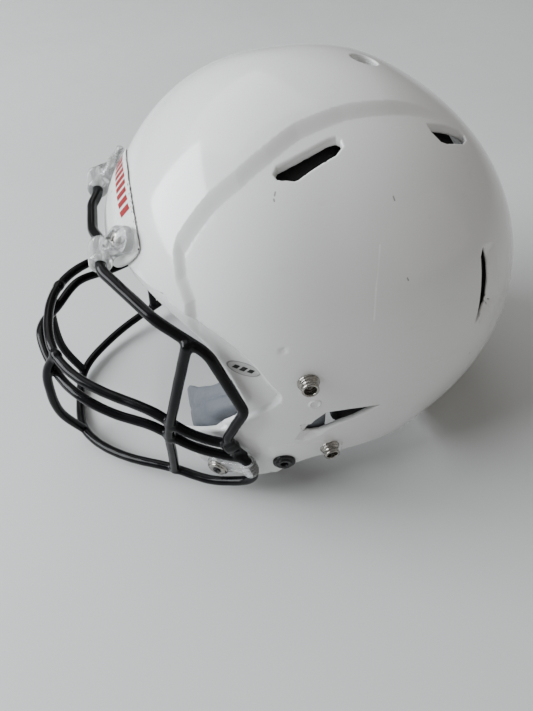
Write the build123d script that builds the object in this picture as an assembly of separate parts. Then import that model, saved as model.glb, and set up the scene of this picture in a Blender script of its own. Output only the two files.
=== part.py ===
from build123d import *
import math
import os

os.makedirs("parts", exist_ok=True)

# American football helmet, millimetres. Front is -Y, the wearer's left is +X, +Z is up.
# The helmet stands as it does on a table: on the chin bar and on the nape edge, both at z = 0.

# ---- shell: a superellipse in plan, an ellipse in height ----
SHELL_CENTRE_Y = 18.9
SHELL_CENTRE_Z = 99.4
SHELL_HALF_WIDTH = 119.2
SHELL_FRONT_REACH = 120.4
SHELL_REAR_REACH = 143.8
SHELL_UPPER_REACH = 136.3
SHELL_LOWER_REACH_FRONT = 300.0
SHELL_LOWER_REACH_REAR = 140.0
PLAN_EXPONENT = 2.37
WALL = 4.0
LIP_DROP = 2.4
PLATEAU_RISE = 2.6

# ---- face guard wire ----
WIRE_RADIUS = 3.15
HINGE_Y = -99.0
HINGE_Z = 163.0
CLIP_INNER_X = 30.0
CLIP_OUTER_X = 50.0
CLIP_BORE = 3.21

# ---- fasteners ----
STUD_FLANGE_RADIUS = 6.3
STUD_STEP_RADIUS = 5.7
STUD_POST_RADIUS = 5.0
STUD_POST_LENGTH = 4.0
STUD_BASE_HEIGHT = 2.9
SCREW_RADIUS = 2.0
SCREW_HEAD_RADIUS = 3.0


def reach_ratio(x, y, z, grow):
    """1 on the shell surface moved out by grow, below 1 inside it."""
    u = y - SHELL_CENTRE_Y
    q = z - SHELL_CENTRE_Z
    rear = 0.5 + 0.5 * math.tanh((u - 10) / 45)
    rear_plan = 0.5 + 0.5 * math.tanh(u / 50)
    upper = 0.5 + 0.5 * math.tanh(q / 20)
    half = SHELL_HALF_WIDTH + grow
    depth = SHELL_FRONT_REACH + (SHELL_REAR_REACH - SHELL_FRONT_REACH) * rear_plan + grow
    low = SHELL_LOWER_REACH_FRONT + grow
    low = low + (SHELL_LOWER_REACH_REAR - SHELL_LOWER_REACH_FRONT) * rear
    high = SHELL_UPPER_REACH + grow
    height_term = q * q * ((1 - upper) / low**2 + upper / high**2)
    plan = (abs(x) / half) ** PLAN_EXPONENT + (abs(u) / depth) ** PLAN_EXPONENT
    return math.sqrt(plan ** (2 / PLAN_EXPONENT) + height_term)


def wall_point(theta, z, grow):
    """Point of the grown shell surface at height z in the plan direction theta."""
    near = 0.0
    far = 320.0
    for _ in range(44):
        mid = (near + far) / 2
        y = SHELL_CENTRE_Y + mid * math.sin(theta)
        if reach_ratio(mid * math.cos(theta), y, z, grow) < 1:
            near = mid
        else:
            far = mid
    return (near * math.cos(theta), SHELL_CENTRE_Y + near * math.sin(theta), z)


def dome(grow):
    """Solid dome of the shell's shape moved out by grow, from below the rim to the crown."""
    heights = [-22.0, 2.0, 26.0, 48.0, 68.0, 84.0, SHELL_CENTRE_Z]
    top = SHELL_UPPER_REACH + grow
    for angle in (8, 17, 30, 43, 55, 66, 76, 82.5, 87.6):
        heights.append(SHELL_CENTRE_Z + top * math.sin(math.radians(angle)))
    rings = []
    for z in heights:
        points = [wall_point(2 * math.pi * i / 24, z, grow) for i in range(24)]
        rings.append(Wire([Spline(*points, periodic=True)]))
    return Solid.make_loft(rings)


def side_prism(points, half_width=200.0, centre_x=0.0):
    """Prism along X over a closed outline given as (y, z) points."""
    outline = Polyline(*[(0, y, z) for y, z in points], close=True)
    face = Face(Wire([*outline.edges()]))
    solid = extrude(face, amount=half_width, dir=(1, 0, 0), both=True)
    return Pos(centre_x, 0, 0) * solid


def plan_prism(points, low, high):
    """Prism along Z over a closed outline given as (x, y) points."""
    outline = Polyline(*[(x, y, low) for x, y in points], close=True)
    face = Face(Wire([*outline.edges()]))
    return extrude(face, amount=high - low, dir=(0, 0, 1))


def front_prism(points, front, rear):
    """Prism along Y over a closed outline given as (x, z) points."""
    outline = Polyline(*[(x, front, z) for x, z in points], close=True)
    face = Face(Wire([*outline.edges()]))
    return extrude(face, amount=rear - front, dir=(0, 1, 0))


def mirrored(points):
    """Outline given for x > 0 from front to rear, closed over its mirror image."""
    return points + [(-x, y) for x, y in reversed(points)]


def seat(y, z, side, grow=0.0):
    """Plane on the shell's outer surface at (y, z), its z axis along the outward normal."""
    near = 0.0
    far = 200.0
    for _ in range(44):
        mid = (near + far) / 2
        if reach_ratio(mid, y, z, grow) < 1:
            near = mid
        else:
            far = mid
    return normal_plane((near * side, y, z), grow)


def top_seat(x, y, grow=0.0):
    """Plane on the upper shell surface at (x, y), its z axis along the outward normal."""
    near = SHELL_CENTRE_Z
    far = 300.0
    for _ in range(44):
        mid = (near + far) / 2
        if reach_ratio(x, y, mid, grow) < 1:
            near = mid
        else:
            far = mid
    return normal_plane((x, y, near), grow)


def normal_plane(point, grow):
    x, y, z = point
    step = 0.05
    gx = reach_ratio(x + step, y, z, grow) - reach_ratio(x - step, y, z, grow)
    gy = reach_ratio(x, y + step, z, grow) - reach_ratio(x, y - step, z, grow)
    gz = reach_ratio(x, y, z + step, grow) - reach_ratio(x, y, z - step, grow)
    normal = Vector(gx, gy, gz).normalized()
    along = Vector(0, 1, 0)
    along = (along - normal * along.dot(normal)).normalized()
    return Plane(origin=point, x_dir=along, z_dir=normal)


def disc(plane, radius, low, high):
    """Round bar along the plane's normal between two heights."""
    bar = Pos(0, 0, (low + high) / 2) * Cylinder(radius, high - low)
    return plane * bar


def cross_slot(plane, length, width, low, high):
    """Cross recess of a screw head."""
    depth = high - low
    one = Pos(0, 0, (low + high) / 2) * Box(length, width, depth)
    two = Pos(0, 0, (low + high) / 2) * Box(width, length, depth)
    return plane * (one + two)


def wire(path, radius=WIRE_RADIUS):
    start = Plane(origin=path @ 0, z_dir=path % 0)
    return sweep(start * Circle(radius), path=path, transition=Transition.ROUND)


def both_sides(points):
    """Full run of points from the wearer's right to left, given from the centre outward."""
    left = list(points)
    right = [(-x, y, z) for x, y, z in reversed(points[1:])]
    return right + left


def biggest(shape):
    return max(shape.solids(), key=lambda solid: solid.volume)


def save(shape, name):
    export_step(shape, "parts/" + name + ".step")


def one(shape, name):
    solid = biggest(shape)
    solid.label = name
    save(solid, name)
    return solid


def several(shapes, name):
    solids = []
    for shape in shapes:
        solids.append(biggest(shape))
    save(Compound(label=name, children=solids), name)
    return solids


# ---------------------------------------------------------------- shell
# Side outline of everything below and in front of the shell: brow, temple, jaw flap, rim, nape.
OPENING = [
    (-240, 151), (-84, 151), (-72, 148), (-61, 142), (-52, 133), (-45, 121), (-40, 107),
    (-37, 94), (-40, 82), (-49, 71), (-62, 60), (-73, 50), (-79, 40), (-79, 29),
    (-72, 18), (-60, 12), (-44, 12), (-30, 16), (-20, 21), (-14, 28), (-5, 33), (6, 36),
    (24, 34.5), (44, 32), (62, 26), (80, 14), (92, 5), (104, 0), (240, 0), (240, -80), (-240, -80),
]
# Side outline of the lowered lip round the face opening.
LIP = [
    (-240, 159), (-84, 159), (-66, 155), (-52, 148), (-38, 138), (-29, 127), (-21, 112),
    (-16, 102), (-24, 92), (-40, 78), (-60, 64), (-240, 20),
]
# Plan outline of the raised centre of the dome, x > 0 half from front to rear.
PLATEAU = [
    (104, -220), (94, -62), (80, -58), (67, -58), (65, -42), (62, -24), (54, 6), (46, 36),
    (41, 62), (38, 92), (33, 118), (20, 132),
]

outer = dome(0)
raised = dome(PLATEAU_RISE)
lowered = dome(-LIP_DROP)
inner = dome(-WALL)
inner_low = dome(-LIP_DROP - WALL)

lip_region = side_prism(LIP)
plateau_region = plan_prism(mirrored(PLATEAU), 120, 300)
body = outer + (raised & plateau_region)
body = (body - lip_region) + (lowered & lip_region)
hollow = (inner - lip_region) + (inner_low & lip_region)
shell = body - hollow
shell = shell - side_prism(OPENING)

# Vents, each cut along the local normal with a rounded slot.
front_vents = []
rear_vents = []
side_slots = []
for side in (1, -1):
    plane = top_seat(63 * side, 13)
    slot = Rot(0, 0, 0) * SlotOverall(38, 12)
    turn = Rot(0, 0, 14 * side)
    front_vents.append(plane * turn * extrude(slot, amount=14, both=True))
    plane = top_seat(44 * side, 97)
    turn = Rot(0, 0, 16 * side)
    rear_vents.append(plane * turn * extrude(SlotOverall(30, 11), amount=14, both=True))
    plane = seat(106, 139, side)
    turn = Rot(0, 0, 90 - 8 * side)
    side_slots.append(plane * turn * extrude(SlotOverall(40, 8), amount=14, both=True))
    ear = [(-4, 70), (6, 79), (12, 83), (24, 83), (40, 81), (28, 76), (16, 71), (4, 67)]
    shell = shell - side_prism(ear, 40, 110 * side)
for cutter in front_vents + rear_vents + side_slots:
    shell = shell - cutter
crown_seat = top_seat(0, 62)
shell = shell - disc(crown_seat, 8.5, -20, 20)

# Seats of the hardware on each side of the shell.
UPPER_SNAP = (-1.5, 113.0)
LOWER_SNAP = (13.0, 45.5)
JAW_PLUG = (-16.0, 37.0)
RELEASE = (-54.5, 30.0)

snap_studs = []
snap_screws = []
snap_nuts = []
plugs = []
plug_nuts = []
for side in (1, -1):
    for y, z in (UPPER_SNAP, LOWER_SNAP):
        plane = seat(y, z, side)
        shell = shell - disc(plane, 3.2, -20, 10)
        stud = disc(plane, STUD_FLANGE_RADIUS, 0.2, 1.6)
        stud = stud + disc(plane, STUD_STEP_RADIUS, 1.4, STUD_BASE_HEIGHT)
        top = STUD_BASE_HEIGHT + STUD_POST_LENGTH
        stud = stud + disc(plane, STUD_POST_RADIUS, STUD_BASE_HEIGHT - 0.1, top)
        stud = stud - disc(plane, 3.3, 1.3, top + 1)
        stud = stud - disc(plane, SCREW_RADIUS + 0.1, -1, 3)
        snap_studs.append(stud)
        screw = disc(plane, SCREW_HEAD_RADIUS, 1.3, 3.4)
        screw = screw + disc(plane, SCREW_RADIUS, -6.4, 1.4)
        snap_screws.append(screw - cross_slot(plane, 4.0, 1.0, 2.4, 4.0))
        nut = disc(plane, 8.0, -6.2, -4.6)
        nut = nut + disc(plane, 3.0, -4.7, -1.0)
        snap_nuts.append(nut - disc(plane, SCREW_RADIUS + 0.06, -8, 1))
    plane = seat(*JAW_PLUG, side)
    shell = shell - disc(plane, 3.2, -20, 10)
    plug = disc(plane, 7.4, 0.4, 2.4) + disc(plane, 5.4, 2.1, 3.6)
    plug = plug + disc(plane, 2.4, -7.0, 0.6)
    plugs.append(plug - disc(plane, 2.0, 1.8, 5))
    nut = disc(plane, 7.0, -6.6, -4.8) + disc(plane, 3.0, -4.9, -1.0)
    plug_nuts.append(nut - disc(plane, 2.46, -8, 1))
    plane = seat(*RELEASE, side)
    shell = shell - disc(plane, 4.4, -20, 10)

# ---------------------------------------------------------------- bumpers
bumper_outer = dome(5.0)
bumper_inner = dome(PLATEAU_RISE + 0.3)
BROW = [(-240, 151), (-60, 151), (-60, 164), (-66, 169), (-72, 176), (-75.3, 184), (-75.3, 210), (-240, 210)]
# Front view of the bumper, x > 0 half from the bottom edge up round the ear.
BROW_FRONT = [
    (30, 151), (41, 153), (50, 160), (56, 168), (57, 175), (54, 183), (45, 194), (30, 204),
]
front_bumper = (bumper_outer - bumper_inner) & side_prism(BROW)
front_bumper = front_bumper & front_prism(mirrored(BROW_FRONT), -130, -40)
NAPE = [(70, 0.5), (240, 0.5), (240, 30), (70, 30)]
nape_plan = [(52, 70), (52, 240), (-52, 240), (-52, 70)]
rear_bumper = (dome(4.2) - dome(0.3)) & side_prism(NAPE)
rear_bumper = rear_bumper & plan_prism(nape_plan, -10, 60)

nape_screws = []
nape_nuts = []
for side in (1, -1):
    near = 90.0
    far = 200.0
    for _ in range(44):
        mid = (near + far) / 2
        if reach_ratio(38 * side, mid, 16, 0) < 1:
            near = mid
        else:
            far = mid
    plane = normal_plane((38 * side, near, 16), 0)
    rear_bumper = rear_bumper - disc(plane, 2.3, -2, 10)
    shell = shell - disc(plane, 3.2, -20, 0.2)
    screw = disc(plane, 4.0, 4.4, 6.2) + disc(plane, SCREW_RADIUS, -6.4, 4.5)
    nape_screws.append(screw - cross_slot(plane, 5.0, 1.1, 5.2, 7.0))
    nut = disc(plane, 7.0, -6.2, -4.6) + disc(plane, 3.0, -4.7, -1.0)
    nape_nuts.append(nut - disc(plane, SCREW_RADIUS + 0.06, -8, 1))

# ---------------------------------------------------------------- face guard
# One bent wire: straight runs joined by arcs, given as corner and bend radius from the centre outward.
BROW_BENDS = [
    ((14, -103, 162.2), 22), ((25, HINGE_Y, HINGE_Z), 22), ((55, HINGE_Y, HINGE_Z), 11),
    ((90, -75, 152), 28), ((105.5, -52, 136.5), 15), ((114.6, -37.5, 94.5), 8.5),
    ((110.8, -49, 69.5), 8.5), ((110, -48.5, 60), 0),
]
brow_corners = [point for point, bend in BROW_BENDS]
brow_radii = [bend for point, bend in BROW_BENDS[:-1]]
brow_corners = [(-x, y, z) for x, y, z in reversed(brow_corners)] + brow_corners
brow_path = FilletPolyline(*brow_corners, radius=list(reversed(brow_radii)) + brow_radii)
brow_wire = Wire([*brow_path.edges()])
brow_frame = wire(brow_wire)

UPPER = [
    (0, -151, 92), (39, -144, 90), (61, -128, 87), (77, -107, 83), (92, -87, 80),
    (101, -74, 72), (105.5, -58.5, 62), (110, -46.5, 59.5),
]
LOWER = [
    (0, -159, 82), (34, -150, 75), (58, -136, 75), (75, -114, 68), (89, -91, 65),
    (100, -75, 58), (106, -57, 48.5), (113, -43, 48.5),
]
CHIN = [
    (0, -154, 3.4), (30, -150, 6), (55, -132, 8), (73, -109, 11), (87, -86, 13),
    (102, -64, 14), (109, -50, 18), (113.5, -41, 23), (115.4, -37, 29), (115.5, -36.7, 34),
    (115.1, -38.4, 40.5), (114.9, -39.2, 43),
]
upper_bar = wire(Wire([Spline(*both_sides(UPPER))]))
lower_bar = wire(Wire([Spline(*both_sides(LOWER))]))
chin_bar = wire(Wire([Spline(*both_sides(CHIN))]))

centre_verticals = {}
side_verticals = {}
gussets = []
for side, word in ((1, "left"), (-1, "right")):
    run = [
        (side * 36, -145, 91), (side * 35.5, -153.5, 80), (side * 35, -158.6, 60),
        (side * 33.5, -159.4, 34), (side * 31, -151.5, 10),
    ]
    centre_verticals[word] = wire(Wire([Spline(*run)]))
    run = [
        (side * 103, -62, 142), (side * 101, -70, 115), (side * 100, -78, 88),
        (side * 97, -83, 66), (side * 92, -85, 40), (side * 88, -87, 15),
    ]
    side_verticals[word] = wire(Wire([Spline(*run)]))
    plate = [(-53, 63), (-46, 65), (-38.8, 50.5), (-41.5, 47.4), (-51, 55)]
    gussets.append(side_prism(plate, 1.3, 111.8 * side))

upper_bar = upper_bar - brow_frame
lower_bar = lower_bar - brow_frame - upper_bar
for word in ("left", "right"):
    bar = centre_verticals[word] - upper_bar - lower_bar - chin_bar
    centre_verticals[word] = bar
    side_verticals[word] = side_verticals[word] - brow_frame - upper_bar - lower_bar - chin_bar

# ---------------------------------------------------------------- top clips
top_clips = {}
clip_screws = []
clip_nuts = []
for side, word in ((1, "left"), (-1, "right")):
    middle = side * (CLIP_INNER_X + CLIP_OUTER_X) / 2
    outline = [(-105, 161), (-102, 157), (-96, 156.5), (-90, 160), (-80, 172), (-82, 179),
               (-88, 181), (-103, 169)]
    clip = side_prism(outline, (CLIP_OUTER_X - CLIP_INNER_X) / 2, middle)
    clip = clip - dome(5.4)
    bore = Pos(middle, HINGE_Y, HINGE_Z) * Rot(0, 90, 0) * Cylinder(CLIP_BORE, 60)
    clip = clip - bore
    near = -120.0
    far = 0.0
    for _ in range(44):
        mid = (near + far) / 2
        if reach_ratio(middle, mid, 168, 0) < 1:
            far = mid
        else:
            near = mid
    plane = normal_plane((middle, near, 168), 0)
    clip = clip - disc(plane, 2.2, -2, 30)
    clip = clip - disc(plane, 4.6, 9.4, 30)
    front_bumper = front_bumper - disc(plane, 2.3, -2, 12)
    shell = shell - disc(plane, 3.2, -20, 12)
    top_clips[word] = clip
    screw = disc(plane, 4.2, 9.4, 11.6) + disc(plane, SCREW_RADIUS, -6.4, 9.5)
    clip_screws.append(screw - cross_slot(plane, 5.2, 1.1, 10.4, 12.2))
    nut = disc(plane, 8.0, -6.4, -4.8) + disc(plane, 3.0, -4.9, -1.0)
    clip_nuts.append(nut - disc(plane, SCREW_RADIUS + 0.06, -8, 1))

# ---------------------------------------------------------------- side clips and releases
side_clips = {}
release_bodies = {}
release_plungers = {}
receptacles = []
for side, word in ((1, "left"), (-1, "right")):
    plane = seat(*RELEASE, side)
    foot = Vector(side * 115.4, -37.4, 33.5)
    head = Vector(side * 114.7, -40.0, 46.0)
    axis = Plane(origin=(foot + head) * 0.5, z_dir=head - foot)
    barrel = axis * Cylinder(4.9, 10.6)
    for offset in (-4.0, 0, 4.0):
        barrel = barrel + axis * Pos(0, 0, offset) * Cylinder(5.3, 1.6)
    start = plane.origin + plane.z_dir * 4.2
    end = Vector(side * 114.6, -41.5, 38.0)
    run = end - start
    lay = Plane(origin=(start + end) * 0.5, x_dir=run.normalized(), z_dir=plane.z_dir)
    strap = lay * Box(run.length + 2.0, 11.0, 2.8)
    clip = barrel + strap + disc(plane, 8.0, 2.8, 5.6)
    clip = clip - axis * Cylinder(WIRE_RADIUS - 0.05, 30)
    clip = clip - disc(plane, 4.9, -2, 12) - disc(plane, 8.2, 5.7, 14)
    side_clips[word] = clip
    body_part = disc(plane, 7.2, 5.8, 7.4) + disc(plane, 4.8, 0.8, 5.9) + disc(plane, 6.0, 7.3, 8.6)
    body_part = body_part - disc(plane, 2.7, -2, 12)
    release_bodies[word] = body_part
    plunger = disc(plane, 2.62, 1.2, 9.4) + disc(plane, 1.6, 0.8, 1.3)
    release_plungers[word] = plunger
    nut = disc(plane, 8.6, -6.4, -4.8) + disc(plane, 4.1, -4.9, -1.2)
    receptacles.append(nut - disc(plane, 2.8, -8, 2))

# ---------------------------------------------------------------- pads and liner
liner_outer = dome(-WALL - 3.6)
liner_inner = dome(-26.0)
liner = liner_outer - liner_inner
BROW_PAD = [(-240, 152), (-30, 152), (-30, 188), (-240, 188)]
front_pad = liner & side_prism(BROW_PAD) & plan_prism([(56, -240), (56, -30), (-56, -30), (-56, -240)], 100, 230)
REAR_PAD = [(72, 12), (240, 12), (240, 146), (72, 146)]
back_pad = liner & side_prism(REAR_PAD) & plan_prism([(98, 60), (98, 240), (-98, 240), (-98, 60)], 0, 200)
side_pads = {}
jaw_pads = {}
jaw_block = (dome(-WALL - 3.4) - dome(-30.0))
for side, word in ((1, "left"), (-1, "right")):
    upper_side = [(-28, 98), (16, 98), (16, 56), (62, 56), (62, 148), (-28, 148)]
    pad = liner & side_prism(upper_side, 60, 90 * side)
    side_pads[word] = pad
    flap = [(-70, 46), (-60, 24), (-24, 26), (-2, 40), (12, 48), (12, 92), (-14, 92), (-40, 86), (-58, 68)]
    jaw_pads[word] = jaw_block & side_prism(flap, 60, 90 * side)
crown_pad = liner & plan_prism([(74, -26), (74, 112), (-74, 112), (-74, -26)], 150, 240)

save(biggest(shell), "helmet_shell")
one(front_bumper, "front_bumper")
one(rear_bumper, "rear_bumper")
several(nape_screws, "rear_bumper_screws")
several(nape_nuts, "rear_bumper_nuts")
one(brow_frame, "brow_frame_wire")
one(upper_bar, "upper_bar_wire")
one(lower_bar, "lower_bar_wire")
one(chin_bar, "chin_bar_wire")
for word in ("left", "right"):
    one(centre_verticals[word], "centre_vertical_" + word)
    one(side_verticals[word], "side_vertical_" + word)
    one(top_clips[word], "top_clip_" + word)
    one(side_clips[word], "side_clip_" + word)
    one(release_bodies[word], "release_body_" + word)
    one(release_plungers[word], "release_plunger_" + word)
    one(side_pads[word], "side_pad_" + word)
    one(jaw_pads[word], "jaw_pad_" + word)
several(gussets, "gusset_plates")
several(clip_screws, "top_clip_screws")
several(clip_nuts, "top_clip_nuts")
several(receptacles, "release_receptacles")
several(snap_studs, "chin_strap_studs")
several(snap_screws, "chin_strap_stud_screws")
several(snap_nuts, "chin_strap_stud_nuts")
several(plugs, "jaw_pad_plugs")
several(plug_nuts, "jaw_pad_plug_nuts")
one(front_pad, "front_pad")
one(back_pad, "back_pad")
one(crown_pad, "crown_pad")
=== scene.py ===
import math

import bmesh
import bpy
import numpy as np
from mathutils import Matrix, Vector


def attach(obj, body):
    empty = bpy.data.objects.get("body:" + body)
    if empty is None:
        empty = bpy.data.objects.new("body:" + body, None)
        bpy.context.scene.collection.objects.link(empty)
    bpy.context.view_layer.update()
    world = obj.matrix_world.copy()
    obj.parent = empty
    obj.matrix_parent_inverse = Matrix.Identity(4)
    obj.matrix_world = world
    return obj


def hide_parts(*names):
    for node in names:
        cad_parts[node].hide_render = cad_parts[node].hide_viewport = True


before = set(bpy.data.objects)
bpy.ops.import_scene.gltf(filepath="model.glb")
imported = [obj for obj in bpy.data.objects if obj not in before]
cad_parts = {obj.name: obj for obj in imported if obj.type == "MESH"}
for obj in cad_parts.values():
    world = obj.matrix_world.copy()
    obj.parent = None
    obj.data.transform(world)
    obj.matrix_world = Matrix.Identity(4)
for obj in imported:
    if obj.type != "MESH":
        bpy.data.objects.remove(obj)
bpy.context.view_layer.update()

# All shapes below are written in millimetres and scaled to metres when a mesh is made.
MM = 0.001

# ---------------------------------------------------------------- camera
SENSOR_MM, LENS_MM = 36.0, 29.36405
CAMERA_AT = (316.65, -57.51, 351.85)
CAMERA_AZ, CAMERA_EL, CAMERA_ROLL = (math.radians(a) for a in (80.27, 46.38, -3.96))


def add_camera():
    forward = Vector((
        -math.sin(CAMERA_AZ) * math.cos(CAMERA_EL),
        math.cos(CAMERA_AZ) * math.cos(CAMERA_EL),
        -math.sin(CAMERA_EL),
    ))
    level = Vector((math.cos(CAMERA_AZ), math.sin(CAMERA_AZ), 0))
    up = level.cross(forward)
    right = level * math.cos(CAMERA_ROLL) + up * math.sin(CAMERA_ROLL)
    top = up * math.cos(CAMERA_ROLL) - level * math.sin(CAMERA_ROLL)
    data = bpy.data.cameras.new("photo_camera")
    data.sensor_width = SENSOR_MM
    data.lens = LENS_MM
    data.clip_start = 0.01
    camera = bpy.data.objects.new("photo_camera", data)
    bpy.context.scene.collection.objects.link(camera)
    basis = Matrix((right, top, -forward)).transposed().to_4x4()
    camera.matrix_world = Matrix.Translation(Vector(CAMERA_AT) * MM) @ basis
    bpy.context.scene.camera = camera


add_camera()

# ---------------------------------------------------------------- field tools


def smin(a, b, k):
    h = np.maximum(k - np.abs(a - b), 0) / k
    return np.minimum(a, b) - h * h * k * 0.25


def smax(a, b, k):
    return -smin(-a, -b, k)


def step(t):
    t = np.clip(t, 0, 1)
    return t * t * (3 - 2 * t)


def catmull(points, closed=True, fine=6):
    """Smooth run through the given points."""
    p = np.array(points, float)
    n = len(p)
    out = []
    spans = n if closed else n - 1
    for i in range(spans):
        if closed:
            a, b, c, d = p[(i - 1) % n], p[i], p[(i + 1) % n], p[(i + 2) % n]
        else:
            a, b, c, d = p[max(i - 1, 0)], p[i], p[i + 1], p[min(i + 2, n - 1)]
        for t in np.arange(fine) / fine:
            out.append(0.5 * (2 * b + (c - a) * t + (2 * a - 5 * b + 4 * c - d) * t**2
                              + (3 * b - a - 3 * c + d) * t**3))
    if not closed:
        out.append(p[-1])
    return np.array(out)


def outline_distance(u, v, outline):
    """Signed distance to a closed 2D outline, negative inside."""
    best = np.full(u.shape, 1e9)
    inside = np.zeros(u.shape, bool)
    n = len(outline)
    for i in range(n):
        ax, ay = outline[i]
        bx, by = outline[(i + 1) % n]
        ex, ey = bx - ax, by - ay
        px, py = u - ax, v - ay
        h = np.clip((px * ex + py * ey) / max(ex * ex + ey * ey, 1e-9), 0, 1)
        best = np.minimum(best, (px - ex * h) ** 2 + (py - ey * h) ** 2)
        if abs(ey) > 1e-9:
            crosses = (ay > v) != (by > v)
            inside ^= crosses & (u < ax + ex * (v - ay) / ey)
    best = np.sqrt(best)
    return np.where(inside, -best, best)


def line_distance(u, v, points):
    """Distance to an open run of 2D points."""
    best = np.full(u.shape, 1e9)
    for (ax, ay), (bx, by) in zip(points[:-1], points[1:]):
        ex, ey = bx - ax, by - ay
        px, py = u - ax, v - ay
        h = np.clip((px * ex + py * ey) / (ex * ex + ey * ey), 0, 1)
        best = np.minimum(best, (px - ex * h) ** 2 + (py - ey * h) ** 2)
    return np.sqrt(best)


# ---------------------------------------------------------------- the shell's surface
SHELL_Y, SHELL_Z = 18.9, 99.4
HALF_WIDTH, FRONT, REAR = 119.2, 120.4, 143.8
UPPER, LOWER_FRONT, LOWER_REAR = 136.3, 300.0, 140.0
PLAN = 2.37
WALL, LIP_DROP, PLATEAU_RISE = 4.0, 2.7, 2.6


def base(p):
    """Approximate distance to the plain shell surface."""
    x, u, q = np.abs(p[:, 0]), p[:, 1] - SHELL_Y, p[:, 2] - SHELL_Z
    rear = 0.5 + 0.5 * np.tanh((u - 10) / 45)
    rear_plan = 0.5 + 0.5 * np.tanh(u / 50)
    upper = 0.5 + 0.5 * np.tanh(q / 20)
    depth = FRONT + (REAR - FRONT) * rear_plan
    low = LOWER_FRONT + (LOWER_REAR - LOWER_FRONT) * rear
    tall = q * q * ((1 - upper) / low**2 + upper / UPPER**2)
    plan = (x / HALF_WIDTH) ** PLAN + (np.abs(u) / depth) ** PLAN
    ratio = np.sqrt(plan ** (2 / PLAN) + tall)
    size = np.sqrt(x * x + u * u + q * q)
    return size * (1 - 1 / np.maximum(ratio, 0.05))


def gradient(field, p, eps=0.15):
    out = np.empty_like(p)
    for axis in range(3):
        shift = np.zeros(3)
        shift[axis] = eps
        out[:, axis] = (field(p + shift) - field(p - shift)) / (2 * eps)
    return out


def unit_rows(vectors):
    return vectors / np.maximum(np.linalg.norm(vectors, axis=1), 1e-9)[:, None]


def seat_along(place, near, far):
    """Where place(distance) meets the plain shell, and the outward normal there."""
    for _ in range(40):
        mid = (near + far) / 2
        if base(np.array([place(mid)]))[0] < 0:
            near = mid
        else:
            far = mid
    point = np.array([place(near)], float)
    return point[0], unit_rows(gradient(base, point))[0]


def seat(y, z, side):
    return seat_along(lambda d: (d * side, y, z), 0.0, 200.0)


def top_seat(x, y):
    return seat_along(lambda d: (x, y, d), SHELL_Z, 300.0)


def front_seat(x, z, sign=-1):
    """On the front of the shell, or on its back with sign 1."""
    return seat_along(lambda d: (x, SHELL_Y + sign * d, z), 0.0, 200.0)


# ---------------------------------------------------------------- meshing
def surface_nets(values, low, cell):
    inside = values < 0
    count = np.zeros([n - 1 for n in values.shape], np.uint8)
    corners = [(i, j, k) for i in (0, 1) for j in (0, 1) for k in (0, 1)]
    nx, ny, nz = count.shape
    for i, j, k in corners:
        count += inside[i:i + nx, j:j + ny, k:k + nz]
    active = (count > 0) & (count < 8)
    where = np.argwhere(active)
    index = np.full(active.shape, -1, np.int64)
    index[active] = np.arange(len(where))
    v = np.stack([values[where[:, 0] + i, where[:, 1] + j, where[:, 2] + k] for i, j, k in corners], 1)
    total = np.zeros((len(where), 3))
    weight = np.zeros(len(where))
    for a in range(8):
        for b in range(a + 1, 8):
            if sum(abs(m - n) for m, n in zip(corners[a], corners[b])) != 1:
                continue
            cut = (v[:, a] < 0) != (v[:, b] < 0)
            t = np.where(cut, v[:, a] / np.where(cut, v[:, a] - v[:, b], 1), 0)
            at = np.array(corners[a]) + t[:, None] * (np.array(corners[b]) - np.array(corners[a]))
            total += at * cut[:, None]
            weight += cut
    verts = np.array(low) + cell * (where + total / weight[:, None])
    faces = []
    for axis in range(3):
        b, c = (axis + 1) % 3, (axis + 2) % 3
        one = [slice(1, -1)] * 3
        two = [slice(1, -1)] * 3
        one[axis], two[axis] = slice(0, -1), slice(1, None)
        first, second = inside[tuple(one)], inside[tuple(two)]
        change = np.argwhere(first != second)
        if not len(change):
            continue
        out = first[tuple(change.T)]
        spot = change.copy()
        spot[:, b] += 1
        spot[:, c] += 1
        quad = []
        for db, dc in ((-1, -1), (0, -1), (0, 0), (-1, 0)):
            at = spot.copy()
            at[:, b] += db
            at[:, c] += dc
            quad.append(index[tuple(at.T)])
        quad = np.stack(quad, 1)
        quad[~out] = quad[~out][:, ::-1]
        faces.append(quad)
    return verts, np.concatenate(faces)


def relax(verts, faces, amount=0.5):
    total = np.zeros_like(verts)
    count = np.zeros(len(verts))
    for i in range(4):
        a, b = faces[:, i], faces[:, (i + 1) % 4]
        for axis in range(3):
            total[:, axis] += np.bincount(a, verts[b, axis], len(verts))
            total[:, axis] += np.bincount(b, verts[a, axis], len(verts))
        count += np.bincount(a, minlength=len(verts)) + np.bincount(b, minlength=len(verts))
    return verts + (total / count[:, None] - verts) * amount


def settle(field, verts, cell, rounds=3):
    for _ in range(rounds):
        d = field(verts)
        g = gradient(field, verts)
        size = np.maximum((g * g).sum(1), 0.05)
        move = g * (d / size)[:, None]
        length = np.linalg.norm(move, axis=1)
        verts = verts - move * np.minimum(1, cell / np.maximum(length, 1e-9))[:, None]
    return verts


def bare_mesh(verts, faces, name):
    """Mesh still in millimetres."""
    mesh = bpy.data.meshes.new(name)
    mesh.vertices.add(len(verts))
    mesh.vertices.foreach_set("co", verts.astype(np.float32).ravel())
    width = faces.shape[1]
    mesh.loops.add(faces.size)
    mesh.loops.foreach_set("vertex_index", faces.astype(np.int32).ravel())
    mesh.polygons.add(len(faces))
    mesh.polygons.foreach_set("loop_start", np.arange(0, faces.size, width, dtype=np.int32))
    mesh.update(calc_edges=True)
    mesh.validate()
    return mesh


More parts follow.
